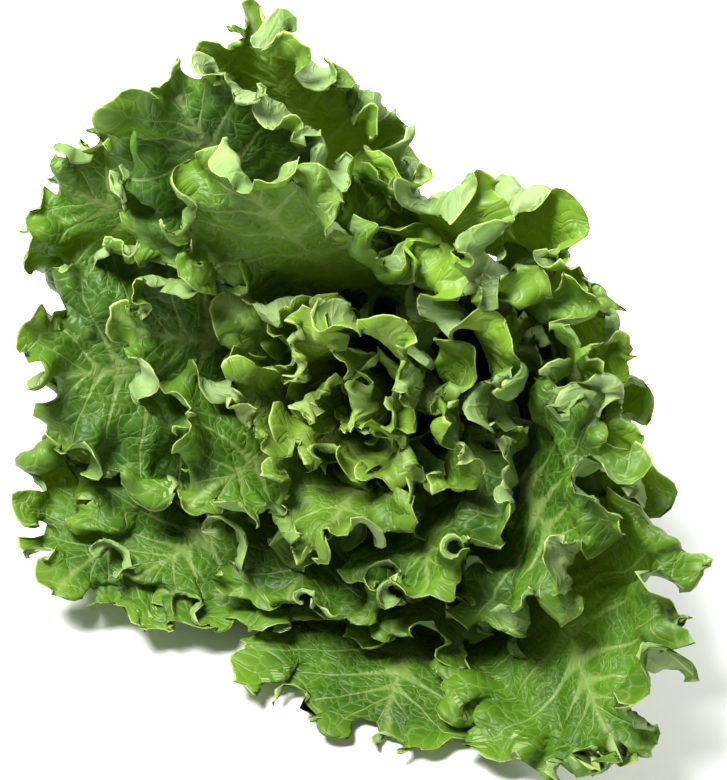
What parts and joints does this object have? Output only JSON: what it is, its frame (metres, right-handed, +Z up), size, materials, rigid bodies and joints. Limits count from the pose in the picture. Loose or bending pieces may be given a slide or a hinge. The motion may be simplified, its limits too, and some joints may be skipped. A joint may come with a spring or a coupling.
{
  "type": "head of green leaf lettuce",
  "caption": "Loose head of green leaf lettuce, cut at the stem and lying on its side, with long frilled leaves in a spiral that open towards the front left.",
  "frame": {"origin": "on the surface that the head lies on, under the middle of its box", "axes": "+Z up; the crown of the head faces -Y and a little -X, and its cut stem lies towards +Y"},
  "size_m": [0.2782, 0.3014, 0.2318],
  "materials": {
    "heart_leaf": "satin leaf, light yellow-green",
    "outer_leaf": "satin leaf, mid to deep green",
    "stem": "moist cut stem, pale green-white"
  },
  "bodies": {
    "root": {"leaf_01": "heart_leaf", "leaf_02": "heart_leaf", "leaf_03": "heart_leaf", "leaf_04": "heart_leaf", "leaf_05": "heart_leaf", "leaf_06": "heart_leaf", "leaf_07": "heart_leaf", "leaf_08": "heart_leaf", "leaf_09": "heart_leaf", "leaf_10": "heart_leaf", "leaf_11": "outer_leaf", "leaf_12": "outer_leaf", "leaf_13": "outer_leaf", "leaf_14": "outer_leaf", "leaf_15": "outer_leaf", "leaf_16": "outer_leaf", "leaf_17": "outer_leaf", "leaf_18": "outer_leaf", "leaf_19": "outer_leaf", "leaf_20": "outer_leaf", "leaf_21": "outer_leaf", "leaf_22": "outer_leaf", "leaf_23": "outer_leaf", "leaf_24": "outer_leaf", "leaf_25": "outer_leaf", "leaf_26": "outer_leaf", "leaf_27": "outer_leaf", "leaf_28": "outer_leaf", "leaf_29": "outer_leaf", "leaf_30": "outer_leaf", "stem": "stem"}
  },
  "joints": []
}
